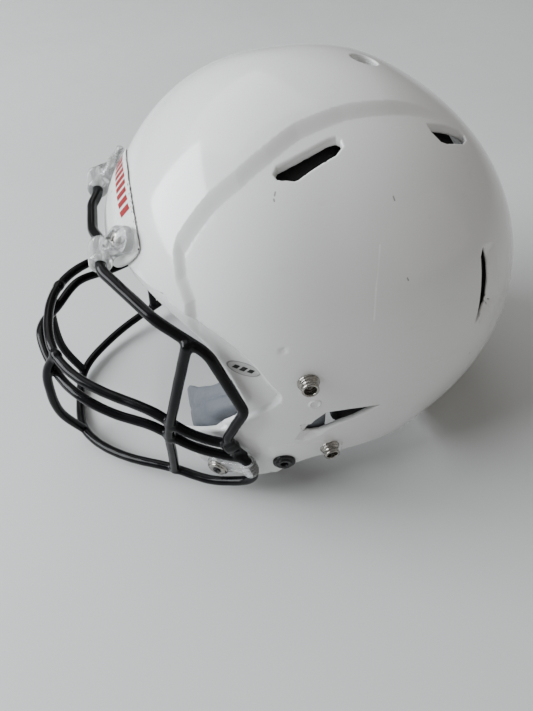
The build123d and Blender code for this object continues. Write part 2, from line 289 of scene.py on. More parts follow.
def finish_piece(mesh, verts, normals, name):
    mesh.vertices.foreach_set("co", (verts * MM).astype(np.float32).ravel())
    mesh.update()
    mesh.polygons.foreach_set("use_smooth", np.ones(len(mesh.polygons), bool))
    mesh.normals_split_custom_set_from_vertices(normals.astype(np.float32).tolist())
    piece = bpy.data.objects.new(name, mesh)
    bpy.context.scene.collection.objects.link(piece)
    return piece


def piece_from(verts, faces, normals, name):
    return finish_piece(bare_mesh(verts, faces, name), verts, normals, name)


def points_of(mesh):
    flat = np.empty(len(mesh.vertices) * 3, np.float32)
    mesh.vertices.foreach_get("co", flat)
    return flat.reshape(-1, 3).astype(float)


def split_near(mesh, field, detail, reach, cell):
    """Halves the faces within reach of a detail, then draws the new points onto the surface."""
    bm = bmesh.new()
    bm.from_mesh(mesh)
    close = detail(points_of(mesh)) < reach
    bm.verts.ensure_lookup_table()
    edges = [e for e in bm.edges if close[e.verts[0].index] and close[e.verts[1].index]]
    bmesh.ops.subdivide_edges(bm, edges=edges, cuts=1, use_grid_fill=True)
    bm.to_mesh(mesh)
    bm.free()
    verts = points_of(mesh)
    pairs = np.empty(len(mesh.edges) * 2, np.int32)
    mesh.edges.foreach_get("vertices", pairs)
    a, b = pairs.reshape(-1, 2).T
    moving = np.where(detail(verts) < reach)[0]
    count = np.bincount(a, minlength=len(verts)) + np.bincount(b, minlength=len(verts))
    for amount in (0.5, 0.5, 0.5, 0.5, 0.4, 0.4):
        total = np.zeros_like(verts)
        for axis in range(3):
            total[:, axis] += np.bincount(a, verts[b, axis], len(verts))
            total[:, axis] += np.bincount(b, verts[a, axis], len(verts))
        mean = total[moving] / count[moving, None]
        verts[moving] += (mean - verts[moving]) * amount
        verts[moving] = settle(field, verts[moving], cell, 1)
    verts[moving] = settle(field, verts[moving], cell, 1)
    mesh.vertices.foreach_set("co", verts.astype(np.float32).ravel())
    mesh.update()


def mesh_field(field, low, high, cell, name, far=None, smooth=2, detail=None, reaches=()):
    """Mesh of the zero surface of a field inside a box; far is a cheap stand-in used away from it."""
    low, high = np.array(low, float), np.array(high, float)
    shape = np.ceil((high - low) / cell).astype(int) + 1
    axes = [low[i] + cell * np.arange(shape[i]) for i in range(3)]
    values = np.empty(shape, np.float32)
    yy, zz = np.meshgrid(axes[1], axes[2], indexing="ij")
    for i0 in range(0, shape[0], 8):
        xs = axes[0][i0:i0 + 8]
        p = np.empty((len(xs), yy.size, 3))
        p[:, :, 0] = xs[:, None]
        p[:, :, 1] = yy.ravel()
        p[:, :, 2] = zz.ravel()
        p = p.reshape(-1, 3)
        if far is None:
            v = field(p)
        else:
            v = far(p)
            close = np.abs(v) < 3.0 * cell
            v[close] = field(p[close])
        values[i0:i0 + len(xs)] = v.reshape(len(xs), shape[1], shape[2])
    for axis in range(3):
        edge = [slice(None)] * 3
        for end in (0, -1):
            edge[axis] = end
            values[tuple(edge)] = np.maximum(values[tuple(edge)], 0.01)
    verts, faces = surface_nets(values, low, cell)
    for _ in range(smooth):
        verts = relax(verts, faces)
        verts = settle(field, verts, cell, 1)
    verts = settle(field, verts, cell, 2)
    mesh = bare_mesh(verts, faces, name)
    for reach in reaches:
        cell = cell / 2
        split_near(mesh, field, detail, reach, cell)
    verts = points_of(mesh)
    return finish_piece(mesh, verts, unit_rows(gradient(field, verts, 0.12)), name)


# ---------------------------------------------------------------- shell shape
OPENING = catmull([
    (-240, 151), (-120, 151), (-84, 151), (-72, 148), (-61, 142), (-52, 133), (-45, 121),
    (-40, 107), (-37, 94), (-40, 82), (-49, 71), (-62, 60), (-73, 50), (-79, 40), (-79, 29),
    (-72, 18), (-60, 12), (-44, 12), (-30, 16), (-20, 21), (-14, 28), (-5, 33), (6, 36),
    (24, 34.5), (44, 32), (62, 26), (80, 14), (92, 5), (104, 0.4), (120, 0.4), (240, 0.4),
    (240, -80), (-240, -80),
], fine=3)
LIP = catmull([
    (-240, 159), (-84, 159), (-66, 155), (-52, 148), (-38, 138), (-29, 127), (-21, 112),
    (-16, 102), (-24, 92), (-40, 78), (-60, 64), (-240, 20),
], fine=3)
# Side edge of the raised middle of the dome, x > 0 half from the brow to the rear.
PLATEAU = [
    (104, -220), (100, -56), (88, -53), (80, -55), (74, -54), (70, -36), (68, -22), (63, -6), (56, 11),
    (50, 35), (47, 55), (43, 78), (38, 104), (30, 130), (-20, 132), (-60, 0), (-60, -220),
]
FRONT_VENT = [
    (67.4, -5.0), (65.0, -2.8), (63.6, 5), (61.2, 14), (57.8, 25.0), (57.4, 28.6), (58.6, 30.6), (61.2, 30.8),
    (64.4, 26.6), (67.0, 18.4), (69.6, 10.7), (71.2, 6.4), (71.5, 4.2), (69.4, -3.8),
]
REAR_VENT = [
    (46.2, 82.2), (44.2, 88), (41.4, 96), (38.6, 105.4), (39.4, 107.9), (41.9, 108.0), (47.1, 103.5),
    (52.9, 91.0), (53.1, 87.4), (49.6, 83.2),
]
EAR = [
    (-4, 67.8), (3, 77.6), (9.6, 83.4), (24, 81.9), (42.5, 78.8), (27.6, 72.0), (18.3, 70.0),
    (11.5, 67.4), (6, 65.7), (0.5, 66.0),
]
SIDE_SLOT = [
    (104.8, 158.5), (103.4, 155), (104.1, 146.4), (104.2, 137.5), (103.9, 128), (102.6, 117.6), (106.6, 120.5),
    (109.6, 126.0), (110.4, 137.5), (109.0, 149), (106.6, 156),
]
# Outer edges of three shallow hollows: behind the side slot, under the ear opening, above the jaw plug.
SLOT_HOLLOW = [(104.0, 161), (114.5, 157), (119, 141), (122.5, 124), (117.8, 115.5), (103.5, 112.5)]
EAR_HOLLOW = [(-5.5, 70), (-9.5, 60.5), (-4, 57.6), (4.8, 59.8), (12.5, 67)]
JAW_STEP = [(-27, 20), (-25.5, 55.0), (-9, 56.8), (9, 55.6), (22, 47), (22, 20)]


PORT_Y, PORT_RADIUS = 62, 7.4


def openings(x, y, z):
    """Each vent's outline, the two coordinates it is drawn in, and the points on its side of the shell."""
    top = z > 150
    return (FRONT_VENT, x, y, top), (REAR_VENT, x, y, top), (EAR, y, z, x > 80), (SIDE_SLOT, y, z, x > 70)


def shell_relief(p):
    """How far the outer surface stands out of the plain shell."""
    x, y, z = np.abs(p[:, 0]), p[:, 1], p[:, 2]
    inside = -outline_distance(x, y, PLATEAU)
    ramp = np.clip(inside / 6.0, 0, 1)
    ramp = ramp + 0.35 * (step(ramp) - ramp)
    raised = PLATEAU_RISE * ramp * step((z - 118) / 12) * step((104 - y) / 46)
    lip = -outline_distance(y, z, LIP)
    dropped = LIP_DROP * step(lip / 2.8 + 0.15)
    relief = raised * (1 - 0.7 * step(lip / 3.0)) - dropped
    near = (np.abs(y - 113) < 16) & (np.abs(z - 137) < 28)
    if near.any():
        u, v = y[near], z[near]
        inner = outline_distance(u, v, SLOT_HOLLOW) < 0
        deep = np.clip(line_distance(u, v, SLOT_HOLLOW) / 11.0, 0, 1) * 2.8
        relief[near] -= deep * inner * step((u - 105.5) / 2.0)
    near = (np.abs(y) < 16) & (np.abs(z - 64) < 12)
    if near.any():
        u, v = y[near], z[near]
        inner = outline_distance(u, v, EAR_HOLLOW + [(12.5, 72), (-5.5, 76)]) < 0
        relief[near] -= inner * np.clip(line_distance(u, v, EAR_HOLLOW) / 7.0, 0, 1) * 2.4 * step((78 - v) / 8)
    near = (np.abs(y + 2) < 30) & (z < 62) & (z > 16)
    if near.any():
        u, v = y[near], z[near]
        panel = -outline_distance(u, v, JAW_STEP)
        relief[near] += 0.8 * step(panel / 1.2) * step((u + 27) / 6)
    # moulded ring and a small dimple on each side
    q = np.hypot(y - 2.3, z - 94.1)
    relief += np.where((q < 6) & (x > 100), 0.5 * np.exp(-((q - 3.0) / 0.6) ** 2), 0)
    q = np.hypot(y + 13.8, z - 135.7)
    relief -= np.where((q < 6) & (x > 90), 1.0 * np.exp(-(q / 1.4) ** 2), 0)
    return relief, dropped


def shell_field(p):
    x, y, z = np.abs(p[:, 0]), p[:, 1], p[:, 2]
    d = base(p)
    relief, dropped = shell_relief(p)
    outer = d - relief
    inner = d + WALL + dropped
    d = smax(outer, -inner, 1.2)
    for outline, u, v, where in openings(x, y, z):
        cu, cv = np.mean(outline, 0)
        near = (np.abs(u - cu) < 40) & (np.abs(v - cv) < 40) & where
        if near.any():
            s = outline_distance(u[near], v[near], outline)
            d[near] = smax(d[near], -s, 1.4)
    port = np.hypot(x, y - PORT_Y) - PORT_RADIUS
    near = (port < 20) & (z > 150)
    d[near] = smax(d[near], -port[near], 1.4)
    rim = outline_distance(y, z, OPENING)
    return smax(d, -rim, 2.0)


def shell_detail(p):
    """Distance to the nearest opening or crease that wants finer faces."""
    x, y, z = np.abs(p[:, 0]), p[:, 1], p[:, 2]
    out = np.full(len(p), 99.0)
    for outline, u, v, where in openings(x, y, z):
        s = np.abs(outline_distance(u, v, outline))
        out = np.where(where, np.minimum(out, s), out)
    out = np.where(z > 150, np.minimum(out, np.abs(np.hypot(x, y - PORT_Y) - PORT_RADIUS)), out)
    out = np.where(x > 100, np.minimum(out, np.abs(np.hypot(y - 2.3, z - 94.1) - 3.0)), out)
    out = np.where(x > 90, np.minimum(out, line_distance(y, z, JAW_STEP[1:5]) + 1.5), out)
    out = np.where(x > 90, np.minimum(out, line_distance(y, z, EAR_HOLLOW) + 1.5), out)
    bevel = np.maximum(np.abs(outline_distance(x, y, PLATEAU) + 3.0) - 3.0, 0) + 3.2
    out = np.where((z > 118) & (y < 104), np.minimum(out, bevel), out)
    out = np.minimum(out, np.abs(outline_distance(y, z, LIP) + 1.0) + 3.0)
    out = np.where(x > 70, np.minimum(out, line_distance(y, z, SLOT_HOLLOW) + 3.0), out)
    out = np.minimum(out, np.abs(outline_distance(y, z, OPENING)) + 2.0)
    return out


shell = mesh_field(shell_field, (-124, -106, -3), (124, 168, 244), 1.9, "shell_outer_wall",
                   far=lambda p: np.where(np.abs(base(p) + 1.0) < 8.5, 0.0, 100.0),
                   detail=shell_detail, reaches=(5.5, 2.8))
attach(shell, "shell")
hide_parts("helmet_shell")

# ---------------------------------------------------------------- face guard
HINGE_Y, HINGE_Z = -99.0, 163.0
WIRE = 3.15
TUBE_CELL = 1.0


def smooth_run(points, spacing=2.2):
    """Natural cubic run through the points, sampled evenly."""
    p = np.array(points, float)
    s = np.concatenate([[0], np.cumsum(np.linalg.norm(np.diff(p, axis=0), axis=1))])
    n = len(p)
    h = np.diff(s)
    a = np.eye(n)
    r = np.zeros((n, 3))
    for i in range(1, n - 1):
        a[i, i - 1:i + 2] = h[i - 1], 2 * (h[i - 1] + h[i]), h[i]
        r[i] = 6 * ((p[i + 1] - p[i]) / h[i] - (p[i] - p[i - 1]) / h[i - 1])
    m = np.linalg.solve(a, r)
    out = []
    for t in np.linspace(0, s[-1], max(2, int(s[-1] / spacing) + 1)):
        i = min(int(np.searchsorted(s, t, "right")) - 1, n - 2)
        u, v = s[i + 1] - t, t - s[i]
        out.append((m[i] * u**3 + m[i + 1] * v**3) / (6 * h[i])
                   + (p[i] / h[i] - m[i] * h[i] / 6) * u + (p[i + 1] / h[i] - m[i + 1] * h[i] / 6) * v)
    return np.array(out)


def mirror_run(points):
    left = [np.array(q, float) for q in points]
    right = [q * (-1, 1, 1) for q in reversed(left[1:])]
    return right + left


# One bent wire: corner and bend radius, from the centre outward.
BROW_BENDS = [
    ((14, -103, 162.2), 22), ((25, HINGE_Y, HINGE_Z), 22), ((55, HINGE_Y, HINGE_Z), 11),
    ((90, -75, 152), 28), ((105.5, -52, 136.5), 15), ((114.6, -37.5, 94.5), 8.5),
    ((110.8, -49, 69.5), 8.5), ((110, -48.5, 60), 0),
]
UPPER_BAR = [
    (0, -151, 92), (39, -144, 90), (61, -128, 87), (77, -107, 83), (92, -87, 80),
    (101, -74, 72), (105.5, -58.5, 62), (110, -46.5, 59.5),
]
LOWER_BAR = [
    (0, -159, 82), (34, -150, 75), (58, -136, 75), (75, -114, 68), (89, -91, 65),
    (100, -75, 58), (106, -57, 48.5), (113, -43, 48.5),
]
CHIN_BAR = [
    (0, -154, 3.4), (30, -150, 6), (55, -132, 8), (73, -109, 11), (87, -86, 13),
    (102, -64, 14), (109, -50, 18), (113.5, -41, 23), (115.4, -37, 29), (115.5, -36.7, 34),
    (115.1, -38.4, 40.5), (114.6, -40.2, 46),
]
CENTRE_VERTICAL = [
    (36, -145, 91), (35.5, -153.5, 80), (35, -158.6, 60), (33.5, -159.4, 34), (31, -151.5, 10),
]
SIDE_VERTICAL = [
    (103, -62, 142), (101, -70, 115), (100, -78, 88), (97, -83, 66), (92, -85, 40), (88, -87, 15),
]
GUSSET = [(-53, 63), (-46, 65), (-38.8, 50.5), (-41.5, 47.4), (-51, 55)]
GUSSET_X, GUSSET_HALF = 111.8, 1.4


def bent_run(bends, spacing=1.6):
    """Straight runs joined by arcs of the given radii."""
    corners = [np.array(q, float) for q, _ in bends]
    radii = [r for _, r in bends[:-1]]
    corners = [q * (-1, 1, 1) for q in reversed(corners)] + corners
    radii = radii[::-1] + radii
    out = [corners[0]]
    for i, radius in enumerate(radii):
        one, at, two = corners[i], corners[i + 1], corners[i + 2]
        a, c = (one - at) / np.linalg.norm(one - at), (two - at) / np.linalg.norm(two - at)
        half = math.acos(np.clip(a @ c, -1, 1)) / 2
        middle = at + (a + c) / np.linalg.norm(a + c) * radius / math.sin(half)
        start, end = at + a * radius / math.tan(half), at + c * radius / math.tan(half)
        turn = math.pi - 2 * half
        for t in np.linspace(0, 1, max(3, int(turn * radius / spacing) + 1)):
            way = (start - middle) * math.sin((1 - t) * turn) + (end - middle) * math.sin(t * turn)
            out.append(middle + way / math.sin(turn))
    out.append(corners[-1])
    return np.array(out)


runs = [bent_run(BROW_BENDS)] + [smooth_run(mirror_run(q)) for q in (UPPER_BAR, LOWER_BAR, CHIN_BAR)]
for side in (1, -1):
    for q in (CENTRE_VERTICAL, SIDE_VERTICAL):
        runs.append(smooth_run([(x * side, y, z) for x, y, z in q]))


def run_distance(p, run):
    best = np.full(len(p), 1e9)
    for a, b in zip(run[:-1], run[1:]):
        e = b - a
        w = p - a
        h = np.clip((w @ e) / (e @ e), 0, 1)
        w -= h[:, None] * e
        best = np.minimum(best, np.einsum("ij,ij->i", w, w))
    return np.sqrt(best)


def plate_distance(p):
    flat = outline_distance(p[:, 1], p[:, 2], GUSSET)
    return smax(np.abs(np.abs(p[:, 0]) - GUSSET_X) - GUSSET_HALF, flat, 1.5)


def add_cage():
    low, high = np.array((-126.0, -170.0, -6.0)), np.array((126.0, -26.0, 176.0))
    cell = TUBE_CELL * 1
    shape = np.ceil((high - low) / cell).astype(int) + 1
    total = np.full(shape, 20.0, np.float32)
    grids = []
    reach = int(WIRE / cell) + 5
    for run in runs:
        own = np.full(shape, 20.0, np.float32)
        fine = []
        for a, b in zip(run[:-1], run[1:]):
            pieces = max(2, int(np.linalg.norm(b - a) / 0.7) + 1)
            for t in np.arange(pieces) / pieces:
                fine.append(a + (b - a) * t)
        fine.append(run[-1])
        for s in fine:
            i = np.round((s - low) / cell).astype(int)
            lo = np.maximum(i - reach, 0)
            hi = np.minimum(i + reach + 1, shape)
            ax = [low[k] + cell * np.arange(lo[k], hi[k]) - s[k] for k in range(3)]
            d = np.sqrt(ax[0][:, None, None]**2 + ax[1][None, :, None]**2 + ax[2][None, None, :]**2)
            box = tuple(slice(lo[k], hi[k]) for k in range(3))
            own[box] = np.minimum(own[box], d - WIRE)
        grids.append(own)
        total = smin(total, own, 2.2)
    axes = [low[k] + cell * np.arange(shape[k]) for k in range(3)]
    for side in (1, -1):
        xs = np.where(np.abs(axes[0] * side - GUSSET_X) < 9)[0]
        ys = np.where((axes[1] > -66) & (axes[1] < -28))[0]
        zs = np.where((axes[2] > 26) & (axes[2] < 70))[0]
        g = np.meshgrid(axes[0][xs], axes[1][ys], axes[2][zs], indexing="ij")
        d = plate_distance(np.stack([q.ravel() for q in g], 1)).reshape(g[0].shape)
        box = (slice(xs[0], xs[-1] + 1), slice(ys[0], ys[-1] + 1), slice(zs[0], zs[-1] + 1))
        total[box] = smin(total[box], d, 3.0)
    verts, faces = surface_nets(total, low, cell)
    spot = np.clip(np.round((verts - low) / cell).astype(int), 0, np.array(shape) - 1)
    close = [np.where(g[tuple(spot.T)] < 7)[0] for g in grids]
    plates = np.where((np.abs(np.abs(verts[:, 0]) - GUSSET_X) < 9) & (verts[:, 1] > -66) & (verts[:, 2] < 70))[0]

    def field(p):
        out = np.full(len(p), 20.0)
        for run, near in zip(runs, close):
            if len(near):
                out[near] = smin(out[near], run_distance(p[near], run) - WIRE, 2.2)
        out[plates] = smin(out[plates], plate_distance(p[plates]), 3.0)
        # a dipped coat is never quite even
        out += 0.06 * np.sin(p[:, 0] * 0.31 + p[:, 1] * 0.23) * np.sin(p[:, 2] * 0.27 + p[:, 1] * 0.19)
        return out

    for _ in range(2):
        verts = relax(verts, faces, 0.4)
        verts = settle(field, verts, cell, 1)
    verts = settle(field, verts, cell, 1)
    return piece_from(verts, faces, unit_rows(gradient(field, verts)), "face_guard_wires")


cage = add_cage()
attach(cage, "face_guard")
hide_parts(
    "brow_frame_wire", "upper_bar_wire", "lower_bar_wire", "chin_bar_wire", "centre_vertical_left",
    "centre_vertical_right", "side_vertical_left", "side_vertical_right", "gusset_plates",
)

# ---------------------------------------------------------------- bumpers
# Front view of the brow bumper, x > 0 half, from its lower middle round the rounded ear to the top.
BROW_BUMPER = catmull([
    (-30, 151), (0, 151), (22, 151), (34, 151.6), (43, 154.5), (50.5, 160.5), (55.6, 168), (57, 175), (55.3, 182),
    (51, 189), (40, 198), (0, 206), (-30, 206),
], fine=3)


def bumper_height(p):
    """Outer face of the brow bumper above the plain shell: full at the brow, thin at the top seam."""
    rise = np.clip((p[:, 1] + 75) / -16, 0, 1)
    return 3.9 + 1.8 * step(rise) + 0.4 * np.exp(-((p[:, 2] - 155) / 3.0) ** 2)


def front_bumper_field(p):
    x, y, z = np.abs(p[:, 0]), p[:, 1], p[:, 2]
    d = base(p)
    flat = smax(outline_distance(x, z, BROW_BUMPER), y + 75.3, 3.0)
    thick = smax(d - bumper_height(p), -(d - 2.9), 0.5)
    return smax(thick, flat, 1.6)


front_bumper = mesh_field(front_bumper_field, (-62, -104, 146), (62, -68, 202), 1.2, "front_bumper_band")
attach(front_bumper, "shell")
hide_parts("front_bumper")


def rear_bumper_field(p):
    x, y, z = np.abs(p[:, 0]), p[:, 1], p[:, 2]
    d = base(p)
    band = smax(np.abs(z - 15.2) - 14.2, x - 51.5, 7.0)
    band = smax(band, 70 - y, 1.0)
    ridge = 0.7 * np.exp(-((z - 22) / 1.6) ** 2) + 0.7 * np.exp(-((z - 9) / 1.6) ** 2)
    return smax(smax(d - 3.5 - ridge, 0.3 - d, 0.5), band, 2.0)


rear_bumper = mesh_field(rear_bumper_field, (-55, 96, -1), (55, 160, 33), 1.4, "rear_bumper_band")
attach(rear_bumper, "shell")
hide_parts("rear_bumper")

# ---------------------------------------------------------------- clips


def basis(n, along=(0, 1, 0)):
    n = np.array(n, float) / np.linalg.norm(n)
    t = np.array(along, float) - n * (np.array(along, float) @ n)
    t /= np.linalg.norm(t)
    return t, np.cross(n, t), n


def rounded_box(u, v, w, half, r):
    q = [np.abs(a) - (h - r) for a, h in zip((u, v, w), half)]
    outside = np.sqrt(sum(np.maximum(a, 0) ** 2 for a in q))
    return outside + np.minimum(np.maximum(np.maximum(q[0], q[1]), q[2]), 0) - r


CLIP_X, CLIP_SCREW_Z = 40.0, 168


def top_clip_field(side):
    cx = CLIP_X * side
    at, n = front_seat(cx, CLIP_SCREW_Z)
    t, b, n = basis(n, (side, 0, 0))
    b = b * side

    def field(p):
        q = p - at
        u, v, w = q @ t, q @ b, q @ n
        # round pad under the screw, its second pocket, and the barrel round the wire
        pad = smax(np.hypot(u, v) - 7.6, np.abs(w - 7.4) - 3.0, 2.4)
        wide = smax(np.hypot(u - 5.6, v - 4.4) - 7.4, np.abs(w - 6.8) - 2.7, 2.4)
        r = np.hypot(p[:, 1] - HINGE_Y, p[:, 2] - HINGE_Z)
        barrel = smax(r - 6.4, np.abs(p[:, 0] - cx) - 10.4, 2.6)
        a = at + n * 7.0
        c = np.array([cx, HINGE_Y, HINGE_Z])
        e = c - a
        h = np.clip(((p - a) @ e) / (e @ e), 0, 1)
        near = p - a - h[:, None] * e
        arm = smax(np.linalg.norm(near * (0.55, 1, 1), axis=1) - 5.2, np.abs(p[:, 0] - cx) - 9.2, 2.6)
        d = smin(smin(pad, wide, 1.2), smin(barrel, arm, 3.0), 3.0)
        d = smax(d, -(r - WIRE - 0.12), 0.4)
        d = smax(d, -smax(np.hypot(u, v) - 4.9, 7.9 - w, 0.4), 0.6)
        pocket = rounded_box(u - 8.2, v - 4.6, w - 9.8, (2.1, 3.0, 2.4), 1.1)
        d = smax(d, -pocket, 0.6)
        groove = smax(np.abs(np.hypot(u - 6, v - 4.6) - 5.6) - 0.45, 9.2 - w, 0.3)
        d = smax(d, -groove, 0.4)
        return smax(d, -(base(p) - bumper_height(p) - 0.15), 0.5)
    return field


def clip_piece(word, side):
    cx = CLIP_X * side
    clip = mesh_field(top_clip_field(side), (cx - 22, -114, 148), (cx + 22, -70, 194), 0.75, "top_clip_body_" + word)
    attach(clip, "shell")
    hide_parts("top_clip_" + word)
    return clip


def box_on(side, low, high):
    """A box given for the left side, mirrored for the right."""
    if side > 0:
        return low, high
    return (-high[0], *low[1:]), (-low[0], *high[1:])


RELEASE = (-54.5, 30.0)
CLIP_FOOT, CLIP_HEAD = np.array((115.4, -37.4, 33.5)), np.array((114.7, -40.0, 46.0))


def side_clip_field(side):
    at, n = seat(*RELEASE, side)
    t, b, n = basis(n)
    flip = np.array((side, 1, 1))
    centre = (CLIP_FOOT + CLIP_HEAD) / 2 * flip
    axis = (CLIP_HEAD - CLIP_FOOT) * flip
    axis = axis / np.linalg.norm(axis)
    end = np.array((114.6, -41.5, 38.0)) * flip

    def field(p):
        q = p - at
        u, v, w = q @ t, q @ b, q @ n
        h = (p - centre) @ axis
        r = np.linalg.norm(p - centre - h[:, None] * axis, axis=1)
        rib = 0.5 * np.cos(h * 2 * math.pi / 3.3)
        barrel = smax(r - 4.9 - rib, np.abs(h) - 6.2, 1.0)
        eye = smax(np.hypot(u, v) - 8.3, np.abs(w - 4.0) - 1.6, 1.4)
        a = at + n * 4.2
        e = end - a
        length = np.linalg.norm(e)
        e = e / length
        side_way = np.cross(n, e)
        side_way /= np.linalg.norm(side_way)
        over = np.cross(e, side_way)
        q = p - a
        f, g, k = q @ e, q @ side_way, q @ over
        strap = rounded_box(f - length / 2, g, k, (length / 2 + 1.5, 5.6, 1.7), 1.2)
        strap = smax(strap, -rounded_box(f - length / 2 - 2.4, g, k - 1.9, (length / 2 - 5, 2.0, 0.9), 0.5), 0.4)
        d = smin(smin(barrel, strap, 2.0), eye, 1.6)
        d = smax(d, -(r - WIRE - 0.05), 0.3)
        d = smax(d, -(np.hypot(u, v) - 5.0), 0.5)
        return smax(d, -(base(p) - 0.8), 0.5)
    return field


def side_clip_piece(word, side):
    low, high = box_on(side, (90, -68, 16), (126, -26, 52))
    clip = mesh_field(side_clip_field(side), low, high, 0.75, "side_clip_body_" + word)
    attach(clip, "face_guard")
    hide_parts("side_clip_" + word)
    return clip


clear_pieces = []
for side, word in ((1, "left"), (-1, "right")):
    clear_pieces.append(clip_piece(word, side))
    clear_pieces.append(side_clip_piece(word, side))

# ---------------------------------------------------------------- turned hardware


def lathe(name, at, n, profile):
    """Turned piece: profile is (radius, height) from the axis out and back."""
    steps = 40
    t, b, n = basis(n)
    verts = []
    rows = []
    for r, h in profile:
        if r < 1e-6:
            rows.append([len(verts)])
            verts.append(at + n * h)
            continue
        row = []
        for i in range(steps):
            a = 2 * math.pi * i / steps
            row.append(len(verts))
            verts.append(at + n * h + (t * math.cos(a) + b * math.sin(a)) * r)
        rows.append(row)
    faces = []
    for one, two in zip(rows[:-1], rows[1:]):
        for i in range(steps):
            j = (i + 1) % steps
            if len(one) == 1:
                faces.append((one[0], two[i], two[j]))
            elif len(two) == 1:
                faces.append((one[i], two[0], one[j]))
            else:
                faces.append((one[i], two[i], two[j], one[j]))
    mesh = bpy.data.meshes.new(name)
    mesh.from_pydata([tuple(np.array(q) * MM) for q in verts], [], [tuple(f) for f in faces])
    mesh.update()
    bm = bmesh.new()
    bm.from_mesh(mesh)
    bmesh.ops.recalc_face_normals(bm, faces=bm.faces)
    bm.to_mesh(mesh)
    bm.free()
    for face in mesh.polygons:
        face.use_smooth = True
    piece = bpy.data.objects.new(name, mesh)
    bpy.context.scene.collection.objects.link(piece)
    return piece


def rounded_profile(points, r=0.35, fine=3):
    """Rounds the corners of a profile a little."""
    out = [points[0]]
    for a, b, c in zip(points[:-2], points[1:-1], points[2:]):
        a, b, c = (np.array(q, float) for q in (a, b, c))
        da, dc = a - b, c - b
        la, lc = np.linalg.norm(da), np.linalg.norm(dc)
        k = min(r, la * 0.45, lc * 0.45)
        one, two = b + da / la * k, b + dc / lc * k
        for t in np.linspace(0, 1, fine):
            out.append(tuple((1 - t) ** 2 * one + 2 * t * (1 - t) * b + t * t * two))
    out.append(points[-1])
    return out


def cross_head(name, at, n, radius, low, high, along):
    """Screw head with a Phillips recess, as a field mesh."""
    t, b, n = basis(n, along)
    mid = at + n * (low + high) / 2

    def field(p):
        q = p - at
        u, v, w = q @ t, q @ b, q @ n
        dome_top = high - 0.05 * (u * u + v * v)
        d = smax(np.hypot(u, v) - radius, smax(w - dome_top, low - w, 0.3), 0.5)
        depth = w - (high - 1.5)
        arm_a = np.maximum(np.abs(u) - 0.55 - 0.10 * depth, np.abs(v) - radius * 0.62)
        arm_b = np.maximum(np.abs(v) - 0.55 - 0.10 * depth, np.abs(u) - radius * 0.62)
        cut = np.maximum(np.minimum(arm_a, arm_b), -depth)
        return smax(d, -cut, 0.25)
    size = radius + 1.5
    return mesh_field(field, mid - size, mid + size, 0.32, name, smooth=1)


plated, steel, black_plastic, marks = [], [], [], []
UPPER_SNAP, LOWER_SNAP = (-1.5, 113.0), (13.0, 45.5)
JAW_PLUG = (-16.0, 37.0)

STUD = rounded_profile([
    (2.1, 0.2), (6.3, 0.2), (6.3, 0.9), (5.9, 1.5), (5.55, 1.6), (5.6, 2.5), (5.2, 2.9), (4.75, 3.1),
    (4.45, 4.1), (4.95, 5.1), (5.0, 6.2), (4.6, 6.9), (3.9, 6.9), (3.35, 6.5), (3.3, 1.7), (2.1, 1.6),
], 0.3)
for side, word in ((1, "left"), (-1, "right")):
    for (y, z), level in ((UPPER_SNAP, "upper"), (LOWER_SNAP, "lower")):
        at, n = seat(y, z, side)
        plated.append((lathe(f"snap_stud_{level}_{word}", at, n, STUD + [STUD[0]]), "shell"))
        steel.append((cross_head(f"snap_screw_{level}_{word}", at, n, 3.0, 1.75, 3.4, (0.3, 1, 0.2)), "shell"))
    at, n = seat(*JAW_PLUG, side)
    plug = rounded_profile([
        (0, 1.0), (1.9, 1.0), (2.2, 1.4), (2.6, 3.5), (5.2, 3.7), (5.6, 2.6), (7.2, 2.2), (7.4, 0.5), (2.4, 0.4),
        (2.4, -6.5), (0, -6.6),
    ], 0.35)
    black_plastic.append((lathe(f"jaw_plug_{word}", at, n, plug), "shell"))
    at, n = seat(*RELEASE, side)
    body = rounded_profile([
        (2.75, 0.9), (4.75, 0.9), (4.75, 5.8), (7.2, 5.85), (7.2, 6.9), (6.8, 7.3), (6.1, 7.4), (5.9, 8.2),
        (5.4, 8.6), (2.75, 8.6), (2.75, 0.9),
    ], 0.3)
    plated.append((lathe(f"release_ring_{word}", at, n, body), "face_guard"))
    plunger = rounded_profile([
        (0, 8.4), (1.2, 8.4), (1.5, 9.1), (2.5, 9.3), (2.6, 8.8), (2.6, 1.3), (1.6, 1.2), (1.5, 0.85), (0, 0.8),
    ], 0.25)
    black_plastic.append((lathe(f"release_button_{word}", at, n, plunger), f"plunger_{word}"))

at, n = top_seat(0, PORT_Y)
valve = rounded_profile([
    (0, -3.6), (2.2, -3.6), (2.6, -4.2), (6.6, -4.2), (7.6, -3.4), (7.9, -4.6), (7.9, -6.4), (0, -6.4),
], 0.3)
valve_floor = lathe("inflation_port_floor", at, n, valve)
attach(valve_floor, "shell")

# screws of the nape bumper and of the top clips
for side, word in ((1, "left"), (-1, "right")):
    at, n = front_seat(38 * side, 16, 1)
    steel.append((cross_head(f"nape_screw_{word}", at, n, 4.0, 4.3, 6.3, (0, 0, 1)), "shell"))
    at, n = front_seat(CLIP_X * side, CLIP_SCREW_Z)
    steel.append((cross_head(f"clip_screw_{word}", at, n, 4.3, 8.1, 11.2, (0.4 * side, 0, 1)), "shell"))

for piece, body in plated + steel + black_plastic:
    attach(piece, body)

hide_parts("chin_strap_studs")
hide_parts("chin_strap_stud_screws")
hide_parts("jaw_pad_plugs")
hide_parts("top_clip_screws")
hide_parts("rear_bumper_screws")
for word in ("left", "right"):
    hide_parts("release_body_" + word)
    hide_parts("release_plunger_" + word)
for piece, _ in plated:
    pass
for piece, _ in steel:
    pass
for piece, _ in black_plastic:
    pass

# ---------------------------------------------------------------- pads


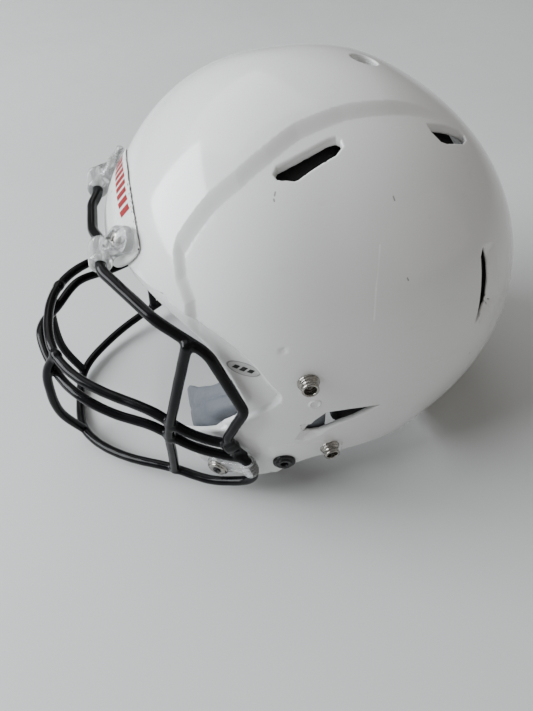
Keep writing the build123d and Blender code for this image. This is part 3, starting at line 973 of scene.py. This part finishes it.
def pad_field(flat, near_wall, deep, soft=8.0, side=0):
    """Cushion between two depths under the shell, inside a flat outline; flat(p) is negative inside."""
    firm = soft < 3.0

    def field(p):
        if side:
            p = p * (side, 1, 1)
        depth = -base(p)
        close = near_wall
        if firm:
            # away from the lip a firm cushion comes up to the shell's inner face
            close = near_wall - 2.9 * step(outline_distance(p[:, 1], p[:, 2], LIP) / 5.0)
        mid, half = (close + deep) / 2, (deep - close) / 2
        edge = flat(p)
        slab = np.abs(depth - mid) - half
        d = smax(slab, edge, soft * 2.2)
        # welded seam round the middle, and a slight pull in between the corners
        seam = np.exp(-((depth - mid) / 1.1) ** 2) * np.exp(-np.maximum(-edge, 0) / 5.0)
        wave = 0.2 * np.sin(p[:, 1] * 0.21 + p[:, 2] * 0.17) * np.sin(p[:, 0] * 0.19 + 1.0)
        return d + 0.9 * seam + wave
    return field


def side_flat(outline):
    curve = catmull(outline, fine=4)

    def flat(p):
        return np.maximum(outline_distance(p[:, 1], p[:, 2], curve), 30 - p[:, 0])
    return flat


pads = []
SIDE_PAD = [
    (-27, 99), (14, 99), (17, 92), (17, 60), (20, 57), (58, 57), (61, 60), (61, 100), (61, 144), (58, 147),
    (18, 147), (-24, 147), (-27, 144), (-27, 123),
]
JAW_PAD = [
    (-69, 46), (-60, 26), (-40, 25), (-24, 27), (-4, 39), (9, 48), (11.5, 54), (11.5, 86), (9, 91), (-14, 91),
    (-39, 85), (-56, 68),
]


def add_pad(field, low, high, name, node, slot, cell=2.0):
    pad = mesh_field(field, low, high, cell, name)
    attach(pad, "shell")
    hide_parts(node)
    pads.append((pad, slot))


for side, word in ((1, "left"), (-1, "right")):
    low, high = box_on(side, (60, -36, 50), (116, 70, 156))
    add_pad(pad_field(side_flat(SIDE_PAD), 7.8, 25.6, 4.0, side), low, high, "side_cushion_" + word,
            "side_pad_" + word, "liner")
    low, high = box_on(side, (26, -78, 14), (116, 20, 100))
    add_pad(pad_field(side_flat(JAW_PAD), 7.6, 29.6, 2.4, side), low, high, "jaw_cushion_" + word,
            "jaw_pad_" + word, "pad", 1.6)


def front_flat(p):
    return smax(np.abs(p[:, 0]) - 55, smax(np.abs(p[:, 2] - 170) - 17.5, p[:, 1] + 31, 4.0), 12.0)


def back_flat(p):
    return smax(np.abs(p[:, 0]) - 97, smax(np.abs(p[:, 2] - 79) - 66.0, 73 - p[:, 1], 4.0), 10.0)


def crown_flat(p):
    x, y = np.abs(p[:, 0]), p[:, 1] - 43
    return smax(smax(x - 73, np.abs(y) - 68, 12.0), 151 - p[:, 2], 4.0)


for word, flat, soft, low, high, cell in (
    ("front", front_flat, 7.0, (-60, -98, 148), (60, -26, 192), 2.0),
    ("back", back_flat, 4.0, (-102, 68, 8), (102, 158, 150), 2.3),
    ("crown", crown_flat, 4.0, (-78, -30, 148), (78, 116, 232), 2.3),
):
    add_pad(pad_field(flat, 7.8, 25.6, soft), low, high, word + "_cushion", word + "_pad", "liner", cell)

# ---------------------------------------------------------------- flat marks on the shell


def patch(name, at, n, along, rings, lift, surface):
    """Thin patch just above a surface, from nested rings of (u, v) points."""
    t, b, n = basis(n, along)
    verts, faces = [], []
    count = len(rings[0])
    for ring in rings:
        for u, v in ring:
            verts.append(at + t * u + b * v)
    verts = np.array(verts)
    for _ in range(6):
        d = surface(verts) - lift
        verts = verts - n * d[:, None]
    for i in range(len(rings) - 1):
        for j in range(count):
            k = (j + 1) % count
            faces.append((i * count + j, (i + 1) * count + j, (i + 1) * count + k, i * count + k))
    return piece_from(verts, np.array(faces), unit_rows(gradient(surface, verts)), name)


def ellipse_rings(a, b, inner, steps=48, layers=5):
    return [[(a * f * math.cos(2 * math.pi * i / steps), b * f * math.sin(2 * math.pi * i / steps))
             for i in range(steps)] for f in np.linspace(inner, 1, layers)]


def bar_rings(cx, w, h, lean, fine=6):
    """Slanted bar as nested outlines."""
    out = []
    for f in np.linspace(0.02, 1, 4):
        ring = []
        for a, b, c, d in ((-1, -1, 1, -1), (1, -1, 1, 1), (1, 1, -1, 1), (-1, 1, -1, -1)):
            for t in np.arange(fine) / fine:
                u, v = (a + (c - a) * t) * w / 2 * f, (b + (d - b) * t) * h / 2 * f
                ring.append((cx + u + v * lean, v))
        out.append(ring)
    return out


def outer_skin(p):
    return base(p) - shell_relief(p)[0]


def bumper_skin(p):
    return base(p) - bumper_height(p)


mark_pieces = {"mark_grey": [], "mark_pale": [], "mark_dark": [], "mark_red": []}
for side, word in ((1, "left"), (-1, "right")):
    at, n = seat(-35.5, 122.5, side)
    along = np.array([0.25 * side, 0.92, -0.35])

    def side_patch(kind, name, rings, lift):
        mark_pieces[kind].append(patch(name, at, n, along, rings, lift, outer_skin))

    side_patch("mark_grey", "side_mark_ring_" + word, ellipse_rings(9.8, 4.3, 0.9), 0.10)
    side_patch("mark_pale", "side_mark_field_" + word, ellipse_rings(8.85, 3.9, 0.02), 0.08)
    for i, (cx, w, h) in enumerate(((-4.2, 2.9, 2.6), (0, 2.9, 3.2), (4.2, 2.9, 2.6))):
        side_patch("mark_dark", f"side_mark_bar_{i}_{word}", bar_rings(cx, w, h, 0.5), 0.14)
for i in range(9):
    at, n = front_seat(-28 + 7.0 * i, 181 - 0.0035 * (7.0 * i - 28) ** 2)
    rings = bar_rings(0, 4.9, 10.6 - 0.5 * abs(i - 4), 0.3)
    mark_pieces["mark_red"].append(patch(f"brow_mark_bar_{i}", at, n, (1, 0, 0), rings, 0.12, bumper_skin))
for key, group in mark_pieces.items():
    for piece in group:
        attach(piece, "shell")

# ---------------------------------------------------------------- materials


class Nodes:
    """Short way to write a node material."""

    def __init__(self, name, **sockets):
        self.material = bpy.data.materials.new(name)
        self.material.use_nodes = True
        self.tree = self.material.node_tree
        self.shader = self.tree.nodes["Principled BSDF"]
        for key, value in sockets.items():
            self.shader.inputs[key.replace("_", " ")].default_value = value
        self.where = self.tree.nodes.new("ShaderNodeTexCoord").outputs["Object"]

    def add(self, kind, out=0, values=None, **links):
        node = self.tree.nodes.new("ShaderNode" + kind)
        for key, value in (values or {}).items():
            setattr(node, key, value)
        for key, value in links.items():
            socket = node.inputs[int(key[1:])] if key[0] == "i" and key[1:].isdigit() else node.inputs[key]
            if isinstance(value, bpy.types.NodeSocket):
                self.tree.links.new(value, socket)
            else:
                socket.default_value = value
        return node.outputs[out]

    def noise(self, scale, detail, rough, where=None):
        return self.add("TexNoise", Vector=where or self.where, Scale=scale, Detail=detail, Roughness=rough)

    def stretch(self, scale, turn):
        return self.add("Mapping", Vector=self.where, Scale=scale, Rotation=turn)

    def math(self, how, a, b):
        return self.add("Math", values={"operation": how}, i0=a, i1=b)

    def band(self, value, low, high, to_low=0.0, to_high=1.0):
        return self.add("MapRange", Value=value, i1=low, i2=high, i3=to_low, i4=to_high)

    def mix(self, fac, a, b):
        node = self.tree.nodes.new("ShaderNodeMix")
        node.data_type = "RGBA"
        for socket, value in ((node.inputs[0], fac), (node.inputs[6], a), (node.inputs[7], b)):
            if isinstance(value, bpy.types.NodeSocket):
                self.tree.links.new(value, socket)
            else:
                socket.default_value = value
        return node.outputs[2]

    def vector(self, how, a, b=(0, 0, 0), out=0):
        return self.add("VectorMath", out=out, values={"operation": how}, i0=a, i1=b)

    def near_line(self, a, b, width, fade):
        """1 near the straight run between two points in millimetres, 0 away from it."""
        a, b = Vector(a) * MM, Vector(b) * MM
        run = b - a
        off = self.vector("SUBTRACT", self.where, tuple(a))
        along = self.vector("DOT_PRODUCT", off, tuple(run / run.length_squared), out=1)
        along = self.add("Clamp", Value=along)
        foot = self.add("VectorMath", values={"operation": "SCALE"}, i0=tuple(run), Scale=along)
        gap = self.vector("LENGTH", self.vector("SUBTRACT", off, foot), out=1)
        return self.band(gap, width * MM, (width + fade) * MM, 1.0, 0.0)

    def bump(self, height, strength, distance):
        return self.add("Bump", Height=height, Strength=strength, Distance=distance)

    def set(self, key, value):
        self.tree.links.new(value, self.shader.inputs[key])


def shell_material():
    m = Nodes("white_polycarbonate", Roughness=0.16, IOR=1.5, Coat_Weight=0.25, Coat_Roughness=0.08)
    tone = m.noise(9.0, 3.0, 0.5)
    colour = m.mix(m.band(tone, 0.35, 0.65), (0.83, 0.83, 0.82, 1), (0.87, 0.87, 0.862, 1))
    # faint rubbed patches
    rub = m.noise(34.0, 6.0, 0.7, m.stretch((1, 1, 2.4), (0.4, 0.2, 0.6)))
    colour = m.mix(m.band(rub, 0.60, 0.74, 0.0, 0.28), colour, (0.66, 0.65, 0.63, 1))
    # small dark nicks
    spots = m.add("TexVoronoi", Vector=m.where, Scale=95.0, Randomness=1.0)
    sparse = m.band(m.noise(21.0, 2.0, 0.5), 0.60, 0.68)
    nick = m.math("MULTIPLY", m.band(spots, 0.055, 0.10, 1.0, 0.0), sparse)
    colour = m.mix(m.math("MULTIPLY", nick, 0.6), colour, (0.25, 0.23, 0.21, 1))
    brown = [(1.2, -36.7, 220.9), (15.4, -48.3, 212.4), (24.4, -54.0, 206.4), (32.2, -60.3, 198.5)]
    for a, b in zip(brown[:-1], brown[1:]):
        grain = m.band(m.noise(700.0, 2.0, 0.6), 0.40, 0.55)
        line = m.math("MULTIPLY", m.near_line(a, b, 0.18, 0.35), grain)
        colour = m.mix(m.math("MULTIPLY", line, 0.65), colour, (0.30, 0.24, 0.20, 1))
    pale = [(95.7, 41.0, 179.2), (106.4, 36.8, 159.9), (112.1, 35.1, 144.8)]
    for a, b in zip(pale[:-1], pale[1:]):
        line = m.near_line(a, b, 0.30, 0.35)
        colour = m.mix(m.math("MULTIPLY", line, 0.8), colour, (0.98, 0.98, 0.97, 1))
    dark = [
        ((81.2, 51.5, 196.0), (82.6, 51.9, 194.6)), ((103.6, 54.4, 161.6), (104.2, 55, 160.4)),
        ((74.0, -6.2, 204.4), (75.0, -6.8, 203.2)), ((76.2, -7.5, 202.1), (76.8, -7.4, 201.3)),
        ((52.3, -7.0, 219.9), (53.2, -7.5, 219.3)), ((54.3, -5.5, 218.9), (54.9, -6.0, 218.5)),
        ((49.0, -11.5, 220.7), (49.8, -11.2, 220.4)),
    ]
    for a, b in dark:
        colour = m.mix(m.math("MULTIPLY", m.near_line(a, b, 0.15, 0.45), 0.75), colour, (0.16, 0.14, 0.13, 1))
    rust = m.near_line((44.8, -76.4, 173.6), (45.6, -75.0, 172.6), 0.4, 0.9)
    colour = m.mix(m.math("MULTIPLY", rust, 0.85), colour, (0.36, 0.15, 0.04, 1))
    m.set("Base Color", colour)
    fine = m.noise(420.0, 2.0, 0.5, m.stretch((1, 0.08, 1), (0.5, 0.3, 0.9)))
    scuff = m.band(fine, 0.60, 0.72)
    rough = m.math("ADD", m.band(rub, 0.45, 0.75, 0.11, 0.24), m.math("MULTIPLY", scuff, 0.10))
    m.set("Roughness", rough)
    height = m.math("ADD", m.noise(55.0, 2.0, 0.5), m.math("MULTIPLY", scuff, 0.12))
    m.set("Normal", m.bump(height, 0.05, 0.0008))
    return m.material


def grained(name, tone, one, two, rough, relief, **sockets):
    """Plain material whose colour, roughness and relief each follow a noise of their own."""
    m = Nodes(name, **sockets)
    scale, detail, softness, start = tone
    m.set("Base Color", m.mix(m.band(m.noise(scale, detail, softness), start, 0.7), one, two))
    scale, detail, start, least, most = rough
    m.set("Roughness", m.band(m.noise(scale, detail, 0.6), start, 0.7, least, most))
    scale, strength, height = relief
    m.set("Normal", m.bump(m.noise(scale, 2.0, 0.5), strength, height))
    return m.material


def bumper_material():
    return grained("white_bumper_plastic", (30.0, 4.0, 0.6, 0.35), (0.80, 0.80, 0.785, 1), (0.74, 0.735, 0.72, 1),
                   (60.0, 4.0, 0.3, 0.24, 0.38), (900.0, 0.08, 0.0003), IOR=1.49, Coat_Weight=0.1, Coat_Roughness=0.2)


def wire_material():
    m = Nodes("black_vinyl_dip", IOR=1.5, Specular_IOR_Level=0.15)
    tone = m.noise(60.0, 3.0, 0.5)
    colour = m.mix(m.band(tone, 0.3, 0.7), (0.003, 0.003, 0.0035, 1), (0.007, 0.007, 0.008, 1))
    chips = m.band(m.noise(210.0, 5.0, 0.7), 0.72, 0.78)
    colour = m.mix(m.math("MULTIPLY", chips, 0.25), colour, (0.08, 0.08, 0.09, 1))
    m.set("Base Color", colour)
    m.set("Roughness", m.band(m.noise(110.0, 4.0, 0.6), 0.35, 0.7, 0.09, 0.22))
    m.set("Normal", m.bump(m.noise(240.0, 2.0, 0.5), 0.08, 0.0004))
    return m.material


def clear_material():
    return grained("clear_polycarbonate", (90.0, 3.0, 0.5, 0.35), (0.93, 0.94, 0.94, 1), (0.80, 0.81, 0.805, 1),
                   (180.0, 4.0, 0.35, 0.08, 0.24), (200.0, 0.08, 0.0004), IOR=1.42, Transmission_Weight=0.78)


def plated_material():
    return grained("bright_plating", (260.0, 4.0, 0.6, 0.35), (0.42, 0.40, 0.37, 1), (0.24, 0.23, 0.21, 1),
                   (500.0, 4.0, 0.35, 0.14, 0.34), (800.0, 0.08, 0.0002), Metallic=1.0)


def steel_material():
    return grained("zinc_screw", (420.0, 4.0, 0.6, 0.35), (0.62, 0.61, 0.58, 1), (0.36, 0.34, 0.31, 1),
                   (700.0, 3.0, 0.35, 0.24, 0.46), (1500.0, 0.12, 0.0002), Metallic=1.0)


def black_material():
    return grained("black_nylon", (120.0, 3.0, 0.5, 0.3), (0.005, 0.005, 0.006, 1), (0.012, 0.012, 0.013, 1),
                   (300.0, 3.0, 0.35, 0.20, 0.36), (1200.0, 0.1, 0.0002), IOR=1.5, Specular_IOR_Level=0.3)


def pad_material(name, one, two):
    m = Nodes(name, IOR=1.48, Sheen_Weight=0.15, Sheen_Roughness=0.5)
    m.set("Base Color", m.mix(m.band(m.noise(50.0, 4.0, 0.6), 0.3, 0.7), one, two))
    grain = m.add("TexVoronoi", Vector=m.where, Scale=1100.0)
    m.set("Roughness", m.band(m.noise(160.0, 3.0, 0.6), 0.3, 0.7, 0.42, 0.60))
    m.set("Normal", m.bump(m.math("ADD", grain, m.noise(90.0, 3.0, 0.5)), 0.30, 0.0004))
    return m.material


def mark_material(name, one, two):
    return grained(name, (300.0, 3.0, 0.6, 0.35), one, two, (500.0, 3.0, 0.3, 0.35, 0.5), (1400.0, 0.06, 0.0002),
                   IOR=1.5, Specular_IOR_Level=0.25)


def dress(piece, material):
    piece.data.materials.clear()
    piece.data.materials.append(material)


SHELL_MAT, BUMPER_MAT, WIRE_MAT = shell_material(), bumper_material(), wire_material()
CLEAR_MAT, PLATED_MAT, STEEL_MAT, BLACK_MAT = clear_material(), plated_material(), steel_material(), black_material()
LINER_MAT = pad_material("black_liner_vinyl", (0.004, 0.004, 0.004, 1), (0.009, 0.009, 0.010, 1))
PAD_MAT = pad_material("grey_pad_vinyl", (0.075, 0.086, 0.103, 1), (0.105, 0.117, 0.135, 1))
dress(shell, SHELL_MAT)
dress(valve_floor, pad_material("grey_port_rubber", (0.24, 0.245, 0.24, 1), (0.32, 0.325, 0.32, 1)))
dress(front_bumper, BUMPER_MAT)
dress(rear_bumper, BUMPER_MAT)
dress(cage, WIRE_MAT)
for piece in clear_pieces:
    dress(piece, CLEAR_MAT)
for piece, _ in plated:
    dress(piece, PLATED_MAT)
for piece, _ in steel:
    dress(piece, STEEL_MAT)
for piece, _ in black_plastic:
    dress(piece, BLACK_MAT)
for piece, slot in pads:
    dress(piece, PAD_MAT if slot == "pad" else LINER_MAT)
marks = {
    "mark_grey": mark_material("mark_grey", (0.30, 0.30, 0.30, 1), (0.38, 0.38, 0.37, 1)),
    "mark_pale": mark_material("mark_pale", (0.58, 0.58, 0.57, 1), (0.66, 0.66, 0.65, 1)),
    "mark_dark": mark_material("mark_dark", (0.02, 0.02, 0.02, 1), (0.04, 0.04, 0.04, 1)),
    "mark_red": mark_material("mark_red", (0.27, 0.001, 0.005, 1), (0.21, 0.001, 0.004, 1)),
}
for key, group in mark_pieces.items():
    for piece in group:
        dress(piece, marks[key])
for name in ("rear_bumper_nuts", "top_clip_nuts", "release_receptacles", "chin_strap_stud_nuts", "jaw_pad_plug_nuts"):
    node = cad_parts[name]
    for material_slot in node.material_slots:
        material_slot.material = STEEL_MAT
    if not node.material_slots:
        node.data.materials.append(STEEL_MAT)

# ---------------------------------------------------------------- floor and light


def floor_material():
    m = Nodes("backdrop_vinyl", Roughness=0.5, IOR=1.45)
    blotch = m.band(m.noise(3.0, 3.0, 0.5), 0.3, 0.7)
    m.set("Base Color", m.mix(blotch, (0.58, 0.59, 0.585, 1), (0.62, 0.63, 0.625, 1)))
    m.set("Roughness", m.band(m.noise(40.0, 3.0, 0.5), 0.3, 0.7, 0.42, 0.55))
    return m.material


bpy.ops.mesh.primitive_plane_add(size=6, location=(0, 0, 0))
floor = bpy.context.object
floor.name = "floor"
dress(floor, floor_material())


LIT_POINT = Vector((0, 0, 0.1))


def area_light(name, at, size, power, colour):
    data = bpy.data.lights.new(name, "AREA")
    data.shape = "RECTANGLE"
    data.size, data.size_y = size
    data.energy = power
    data.color = colour
    light = bpy.data.objects.new(name, data)
    bpy.context.scene.collection.objects.link(light)
    light.location = at
    light.rotation_euler = (LIT_POINT - Vector(at)).to_track_quat("-Z", "Y").to_euler()


area_light("window", (-0.35, -2.0, 1.35), (2.0, 1.5), 120, (0.93, 0.965, 1.0))
area_light("ceiling", (-1.2, -0.5, 2.1), (2.0, 2.0), 19, (0.98, 0.99, 1.0))
area_light("room_fill", (1.1, 1.5, 0.7), (1.4, 1.0), 1.2, (1.0, 0.86, 0.70))
world = bpy.data.worlds.new("room")
world.use_nodes = True
sky = world.node_tree.nodes["Background"]
sky.inputs["Color"].default_value = (1.0, 0.975, 0.94, 1)
sky.inputs["Strength"].default_value = 0.24
bpy.context.scene.world = world
